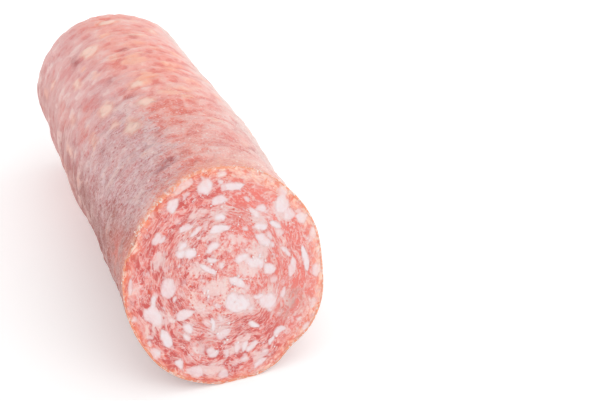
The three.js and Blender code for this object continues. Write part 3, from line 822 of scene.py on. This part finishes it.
def giveCasingLayers(piece, hoop, around, along):
    zones = casingZones
    random = np.random.default_rng(zones["seed"])
    wobble = crumple(hoop * [0.6, 0.6, 1], 4.5, 3, 3)
    wobbleRound = crumple(hoop * [0.6, 0.6, 1], 4.5, 3, 4)
    bentAlong = along + 0.7 * wobble
    bentAround = around + 0.025 * wobbleRound
    layers = {name: markField(bentAlong, bentAround, marks, random, zones["drawnMarks"][name])
              for name, marks in casingMarks.items()}
    degrees = np.degrees(halfTurn(around)) + 8 * wobbleRound

    def past(name):  # 0 before the zone's first value, 1 after its second
        return smoothStep(along if name.endswith("Along") else degrees, *zones[name])

    rise = zones["flankRise"] * (1 - past("flankAlong"))
    low, high = zones["bloomFrom"]
    left = smoothStep(degrees, low + rise, high + rise) * (1 - past("bloomTo"))
    bloom = left * (1 - 0.9 * past("bloomFadesAlong")) * past("bloomAlong")
    over = 1 - past("rightTo")
    # painted shade: full on the lower left flank and the underside, none on the lit top and right
    low, high = zones["paintedShadeTo"]
    lit = smoothStep(degrees, low + 1.4 * rise, high + rise) * (1 - past("paintedShadeFrom"))
    fromCut = along - rimPoint(around, casingLook["underSolid"], 0)[:, 1]
    reach = zones["glowReach"] + 1.6 * wobble + 2.2 * past("glowWiderFrom")
    glow = np.exp(-(np.maximum(fromCut, 0) / np.maximum(reach, 0.8)) ** 2)
    specks = past("specksFrom") * (1 - 0.8 * past("specksAlong")) * (1 - past("specksTo"))
    layers |= {
        "bloom": np.clip(bloom + 0.2 * wobble, 0, 1),
        "threadZone": bloom * np.clip(0.6 + 1.2 * wobble, 0, 1),
        "stain": bloom * crumple(hoop * [0.7, 0.7, 0.6], 8, 2, 14),
        "coral": past("coralFrom") * over,
        "paintedLightNearTop": past("paintedLightNearTopFrom") * (1 - past("paintedLightNearTopTo")) * (1 - past("paintedLightNearTopAlong")),
        "paintedHighlightRight": past("paintedHighlightRightFrom") * over * (1 - past("paintedHighlightRightAlong")),
        "paintedShade": np.clip((1 - lit) * (1 - 0.6 * past("paintedShadeFadesAlong")), 0, 1),
        "cutGlow": glow * (1 - past("glowTo")) * past("glowFrom"),
        "speckZone": 0.15 + 0.85 * specks,
        "crisp": 1.2 - 0.95 * past("crispAlong"),
        "contrast": 1.05 - 0.35 * past("contrastAlong"),
        "hoopFlow": hoop * mm,
        "hoopAlong": roundTheLog(around),
    }
    giveLayers(piece, layers)


def casingMaterial():
    s, tone = Shading("casing"), casingColours
    place, hoop = s.place(), s.layer("hoopFlow", "Vector")
    girth = s.stretch(hoop, (0.42, 0.42, 1))  # what is drawn with it runs round the log
    loose = s.warp(hoop, 4.0, 3.2)
    bits = s.mosaic(loose, 3.6, 0.6)
    cloud = s.noise(loose, 6.0, 3, 0.6)
    crisp = s.layer("crisp")
    fibre = s.calm(s.noise(s.warp(girth, 2.5, 1.0), 0.8, 3, 0.65), crisp)
    grit = s.calm(s.noise(place, 0.6, 4, 0.75), crisp)
    strands = s.veins(s.warp(girth, 3.0, 1.8), 2.0, 0.05)
    hairs = s.veins(s.warp(girth, 1.2, 0.5), 0.9, 0.07)
    bloom = s.layer("bloom")
    # the ridge layer paints light on the wrinkle ridges and shade in the hollows between them
    toneHere = s.sum((bits, 0.22), (cloud, 0.62), (fibre, 0.22), (grit, 0.1), (s.layer("underSkin"), 0.09),
                     (s.layer("ridgeAndPaintedLight"), 0.055), (s.layer("stain"), 0.12))
    toneHere = s.calm(toneHere, s.layer("contrast"), tone["middle"])
    colour = s.blend(s.layer("coral"), tone["mauve"], tone["coral"])
    # painted highlight on the right side
    colour = s.blend(s.layer("paintedHighlightRight"), colour, tone["paintedHighlightRight"])
    # painted light on the top just behind the cut
    colour = s.blend(s.times(s.layer("paintedLightNearTop"), 0.9), colour, tone["paintedLightNearTop"])
    # painted shade over the lower left flank and the underside
    colour = s.blend(s.layer("paintedShade"), colour, tone["paintedShade"])
    bloomHere = s.times(bloom, s.ramp(cloud, 0.36, 0.6, (0.4, 0.95)))
    colour = s.blend(s.times(bloomHere, 0.8), colour, tone["bloom"])
    redHere = s.times(s.layer("redZone"), s.ramp(toneHere, 0.68, 0.5, (0.25, 0.85)))
    colour = s.blend(redHere, colour, tone["red"])
    colour = s.blend(s.ramp(toneHere, 0.58, 0.44), colour, tone["darken"], "MULTIPLY")
    # the pale, orange and fat marks are muted under the painted shade
    unshaded = s.minus(1.0, s.times(s.layer("paintedShade"), 0.55))
    paleHere = s.times(s.ramp(toneHere, 0.59, 0.74, (0.0, 0.75)), unshaded)
    paleHere = s.times(paleHere, s.minus(1.0, s.times(s.layer("redZone"), 0.7)))
    colour = s.blend(paleHere, colour, tone["pale"])
    edge = s.times(s.minus(toneHere, tone["middle"]), 2.0)
    orangeHere = s.plus(s.times(s.layer("orangePatch"), unshaded), edge)
    colour = s.blend(s.ramp(orangeHere, 0.3, 0.9, (0.0, 0.65)), colour, tone["orange"])
    glow = s.times(s.layer("cutGlow"), s.ramp(cloud, 0.34, 0.6, (0.35, 1.0)))
    colour = s.blend(glow, colour, s.blend(s.ramp(fibre, 0.4, 0.6), tone["red"], tone["lipOrange"]))
    # painted shade in the creases
    colour = s.blend(s.times(s.layer("creaseAndPaintedShade"), 0.3), colour, tone["darken"], "MULTIPLY")
    film = s.times(s.ramp(fibre, 0.5, 0.62), s.ramp(bloom, 0.0, 0.7, (0.1, 0.8)))
    colour = s.blend(film, colour, tone["film"])
    threads = s.math("MAXIMUM", s.times(strands, s.ramp(cloud, 0.4, 0.56)), s.times(hairs, 0.75))
    threads = s.times(threads, s.ramp(bloom, 0.0, 0.7, (0.35, 0.7)))
    sharp = s.ramp(crisp, 0.2, 1.0, (0.35, 1.0))
    threads = s.times(threads, sharp)
    colour = s.blend(threads, colour, tone["thread"])
    raw = s.noise(s.stretch(hoop, (0.6, 0.6, 1)), 0.7, 2, 0.5)
    raw = s.times(s.ramp(raw, 0.44, 0.32), s.times(s.ramp(grit, 0.62, 0.4), sharp))
    colour = s.blend(s.times(raw, s.ramp(bloom, 0.1, 0.7, (0.35, 0.9))), colour, tone["deepRed"])
    colour = s.blend(s.ramp(grit, 0.34, 0.48, (0.6, 0.0)), colour, tone["darken"], "MULTIPLY")
    colour = s.blend(s.ramp(grit, 0.52, 0.66, (0.0, 0.45)), colour, tone["pale"])
    specks = s.times(s.ramp(s.cells(place, 1.3), 0.12, 0.3, (0.7, 0.0)), s.ramp(grit, 0.46, 0.54))
    specks = s.times(specks, s.layer("speckZone"))
    colour = s.blend(specks, colour, tone["speck"])
    fatHere = s.sum((s.times(s.layer("fatPatch"), unshaded), 1.0), (edge, 0.4))
    colour = s.blend(s.ramp(fatHere, 0.12, 0.42, (0.0, 0.3)), colour, tone["orange"])
    colour = s.blend(s.ramp(fatHere, 0.36, 0.72, (0.0, 0.85)), colour, tone["fatUnder"])
    bruiseHere = s.times(s.layer("darkSpot"), s.ramp(toneHere, 0.66, 0.46, (0.1, 0.8)))
    colour = s.blend(bruiseHere, colour, tone["bruise"])
    lip = s.blend(s.ramp(s.noise(place, 1.1, 3), 0.38, 0.52), tone["lip"], tone["lipOrange"])
    colour = s.blend(s.times(s.layer("cutEdge"), s.ramp(grit, 0.3, 0.6, (1.0, 0.6))), colour, lip)
    normal = s.bump(s.sum((bits, 0.3), (cloud, 1.0), (s.ramp(fatHere, 0.3, 0.9), 0.5)), 0.7)
    normal = s.bump(s.sum((threads, 0.5), (fibre, 0.7), (grit, 0.8)), 0.3, normal)
    roughness = s.ramp(grit, 0.3, 0.7, (0.4, 0.6))
    return s.finish(Base_Color=colour, Roughness=roughness, Normal=normal, Subsurface_Weight=0.15,
                    Subsurface_Radius=(1.0, 0.45, 0.35), Subsurface_Scale=0.6 * mm, Coat_Weight=0.08,
                    Coat_Roughness=0.35, Specular_IOR_Level=0.35)


# Small loose bits over a surface: threads in the bloom, frayed skin at the cut, crumbs of fat
class Scatter(NodeTree):
    def __init__(self, name, mask, unit, material):
        self.name = name
        self.tree = bpy.data.node_groups.new(name, "GeometryNodeTree")
        self.sockets = {}
        face = self.tree.interface
        face.new_socket(name="Geometry", in_out="INPUT", socket_type="NodeSocketGeometry")
        for label, kind in (("Density", "Float"), ("Smallest", "Float"), ("Largest", "Float"),
                            ("Width", "Float"), ("Height", "Float"), ("Turn", "Float"), ("Tumble", "Float"),
                            ("Rough", "Float"), ("Seed", "Int")):
            socket = face.new_socket(name=label, in_out="INPUT", socket_type="NodeSocket" + kind)
            self.sockets[label] = socket.identifier
        face.new_socket(name="Geometry", in_out="OUTPUT", socket_type="NodeSocketGeometry")
        given = self.add("NodeGroupInput", {}).outputs
        self.seed = given["Seed"]
        density = self.times(given["Density"], self.named(mask, "FLOAT"))
        spread = self.add("GeometryNodeDistributePointsOnFaces",
                          {"Mesh": given["Geometry"], "Density": density, "Seed": given["Seed"]})
        facing = {"Rotation": spread.outputs["Rotation"], "Vector": self.named("hoopAlong", "FLOAT_VECTOR")}
        facing = self.add("FunctionNodeAlignRotationToVector", facing, axis="X", pivot_axis="Z")
        facing = facing.outputs["Rotation"]
        tumbleX, tumbleY, turn = (self.random(self.times(given[label], -1.0), given[label], shift)
                                  for label, shift in (("Tumble", 1), ("Tumble", 2), ("Turn", 3)))
        euler = self.vector(tumbleX, tumbleY, turn)
        turn = self.add("FunctionNodeEulerToRotation", {0: euler}).outputs["Rotation"]
        facing = self.add("FunctionNodeRotateRotation", {"Rotation": facing, "Rotate By": turn},
                          rotation_space="LOCAL").outputs["Rotation"]
        share = self.math("POWER", self.random(0.0, 1.0, 4), 2.5)
        span = self.minus(given["Largest"], given["Smallest"])
        size = self.plus(given["Smallest"], self.times(span, share))
        wide = self.times(size, given["Width"])
        high = self.times(size, given["Height"])
        bits = self.add("GeometryNodeInstanceOnPoints",
                        {"Points": spread.outputs["Points"], "Instance": unit(self), "Rotation": facing,
                         "Scale": self.vector(size, wide, high)}).outputs["Instances"]
        push = self.push({"Scale": 1 / (0.3 * mm), "Detail": 1.0})
        push = self.vectorMath("SCALE", {0: push, "Scale": given["Rough"]})
        for kind, inputs in (("RealizeInstances", {}), ("SetPosition", {"Offset": push}),
                             ("SetShadeSmooth", {}), ("SetMaterial", {"Material": material})):
            bits = self.add("GeometryNode" + kind, {"Geometry": bits, **inputs}).outputs["Geometry"]
        self.add("NodeGroupOutput", {"Geometry": bits})

    def named(self, name, kind):
        attribute = self.add("GeometryNodeInputNamedAttribute", {"Name": name}, data_type=kind)
        return attribute.outputs["Attribute"]

    def vector(self, x, y, z):
        return self.add("ShaderNodeCombineXYZ", {0: x, 1: y, 2: z}).outputs["Vector"]

    def random(self, low, high, shift):  # each use has its own draw from the one seed
        seed = self.plus(self.seed, float(shift))
        inputs = {2: low, 3: high, "Seed": seed}
        return self.add("FunctionNodeRandomValue", inputs, data_type="FLOAT").outputs[1]

    def over(self, base, **values):  # the finished bits, as a plain mesh
        carrier = bpy.data.objects.new(self.name, base.data)
        bpy.context.scene.collection.objects.link(carrier)
        modifier = carrier.modifiers.new(self.name, "NODES")
        modifier.node_group = self.tree
        for label, value in values.items():
            modifier[self.sockets[label]] = value
        evaluated = carrier.evaluated_get(bpy.context.evaluated_depsgraph_get())
        mesh = bpy.data.meshes.new_from_object(evaluated)
        mesh.name = self.name
        carrier.modifiers.clear()
        carrier.data = mesh
        return carrier


def threadUnit(scatter):  # a curled thread one unit long
    points = {"Start": (-0.5, -0.1, 0), "Start Handle": (-0.1, 0.5, 0.06), "End Handle": (0.1, -0.55, 0.06),
              "End": (0.5, 0.15, 0), "Resolution": 8}
    line = scatter.add("GeometryNodeCurvePrimitiveBezierSegment", points).outputs["Curve"]
    ring = scatter.add("GeometryNodeCurvePrimitiveCircle", {"Resolution": 3, "Radius": 0.034})
    tube = {"Curve": line, "Profile Curve": ring.outputs["Curve"], "Fill Caps": True}
    return scatter.add("GeometryNodeCurveToMesh", tube).outputs["Mesh"]


def crumbUnit(scatter):
    return scatter.add("GeometryNodeMeshIcoSphere", {"Radius": 0.5, "Subdivisions": 1}).outputs["Mesh"]


# Density is for each square metre; width and height are shares of the length; turns are in radians
looseBits = {
    "bloomThreads": {"Density": 700000.0, "Smallest": 0.6 * mm, "Largest": 2.4 * mm, "Width": 0.8,
                     "Height": 0.8, "Turn": 3.1, "Tumble": 0.05, "Rough": 0.1 * mm, "Seed": 3},
    "rimFray": {"Density": 7000000.0, "Smallest": 0.3 * mm, "Largest": 1.5 * mm, "Width": 0.6,
                "Height": 0.22, "Turn": 3.1, "Tumble": 0.9, "Rough": 0.6 * mm, "Seed": 5},
    "fatCrumbs": {"Density": 1800000.0, "Smallest": 0.35 * mm, "Largest": 1.2 * mm, "Width": 0.75,
                  "Height": 0.4, "Turn": 3.1, "Tumble": 0.5, "Rough": 0.2 * mm, "Seed": 9},
}


def bitMaterial(name, colour, other, roughness):
    s = Shading(name)
    tone = s.blend(s.ramp(s.noise(s.place(), 1.2, 2), 0.4, 0.6), colour, other)
    return s.finish(Base_Color=tone, Roughness=roughness)


def makeLooseBits(casing, cutMeat):
    threadLook = bitMaterial("bloomThread", srgb(236, 206, 206), srgb(228, 188, 190), 0.7)
    frayLook = bitMaterial("frayedSkin", srgb(250, 238, 234), srgb(246, 216, 200), 0.45)
    crumbLook = bitMaterial("fatCrumb", srgb(240, 230, 232), srgb(236, 210, 208), 0.35)
    plans = (("bloomThreads", casing, "threadZone", threadUnit, threadLook),
             ("rimFray", casing, "fray", crumbUnit, frayLook),
             ("fatCrumbs", cutMeat, "torn", crumbUnit, crumbLook))
    return [Scatter(name, mask, unit, look).over(base, **looseBits[name])
            for name, base, mask, unit, look in plans]


# Studio
viewLook = {
    "lens": 72.0,
    "elevation": 27.69,
    "azimuth": -19.82,
    "middleOfCut": (-20.73, -21.66, 340.14),  # left, down and away from the camera, in millimetres
    "nearClip": 0.01,
}


def makeCamera():
    tilt, turn = math.radians(viewLook["elevation"]), math.radians(viewLook["azimuth"])
    towards = Vector((math.sin(turn) * math.cos(tilt), -math.cos(turn) * math.cos(tilt), math.sin(tilt)))
    right = Vector((math.cos(turn), math.sin(turn), 0))
    up = towards.cross(right)
    sideways, upwards, away = viewLook["middleOfCut"]
    middle = Vector(logOrigin) + Vector((0, 0, centreHeight(0)))
    place = middle - right * sideways - up * upwards + towards * away
    camera = bpy.data.objects.new("camera", bpy.data.cameras.new("camera"))
    camera.data.lens = viewLook["lens"]
    camera.data.clip_start = viewLook["nearClip"]
    camera.matrix_world = Matrix.Translation(place * mm) @ Matrix((right, up, towards)).transposed().to_4x4()
    bpy.context.scene.collection.objects.link(camera)
    bpy.context.scene.camera = camera
    return right, towards


# A lamp comes from so far right, up and behind the log, as the camera sees it
studioLook = {
    "world": 0.92,
    "aimedAt": (0, -0.03, 0.03),
    "lamps": {
        "key": {"from": (0.85, 0.35, 0.5), "size": 0.85, "watts": 2.05, "away": 0.9},
        "front": {"from": (0.65, 0.4, -0.8), "size": 0.6, "watts": 1.5, "away": 1.0},
    },
    "floorHalf": 3.0,
    "paper": (0.96, 0.96, 0.96, 1),
    "paperRoughness": 0.9,
    "paperGlow": 0.16,
}


def makeStudio(right, towards):
    scene, look = bpy.context.scene, studioLook
    scene.view_settings.view_transform = "Standard"
    world = bpy.data.worlds.new("studio")
    world.use_nodes = True
    background = world.node_tree.nodes["Background"].inputs
    background["Color"].default_value = (1, 1, 1, 1)
    background["Strength"].default_value = look["world"]
    scene.world = world
    for name, light in look["lamps"].items():
        side, rise, behind = light["from"]
        direction = (right * side + Vector((0, 0, 1)) * rise - towards * behind).normalized()
        lamp = bpy.data.objects.new(name, bpy.data.lights.new(name, "AREA"))
        lamp.data.energy = light["watts"]
        lamp.data.size = light["size"]
        lamp.location = Vector(look["aimedAt"]) + direction * light["away"]
        lamp.rotation_euler = direction.to_track_quat("Z", "Y").to_euler()
        scene.collection.objects.link(lamp)
    half = look["floorHalf"]
    corners = [(-half, -half, 0), (half, -half, 0), (half, half, 0), (-half, half, 0)]
    mesh = bpy.data.meshes.new("floor")
    mesh.from_pydata(corners, [], [(0, 1, 2, 3)])
    floor = bpy.data.objects.new("floor", mesh)
    scene.collection.objects.link(floor)
    paper = Shading("paper").finish(Base_Color=look["paper"], Roughness=look["paperRoughness"],
                                    Emission_Color=(1, 1, 1, 1), Emission_Strength=look["paperGlow"])
    floor.data.materials.append(paper)


casing, hoop, around, along = makeCasing()
giveCasingLayers(casing, hoop, around, along)
casing.data.materials.append(casingMaterial())
print("casing made", len(casing.data.polygons))

cutMeat = makeCutMeat()
cutMeat.data.materials.append(cutMeatMaterial())
print("cut face made", len(cutMeat.data.polygons))

looseBitPieces = makeLooseBits(casing, cutMeat)
print("loose bits made", *(len(piece.data.polygons) for piece in looseBitPieces))

for piece in (casing, cutMeat, *looseBitPieces):
    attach(piece, "root")
    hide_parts("sausage")

makeStudio(*makeCamera())
print("camera and studio ready")
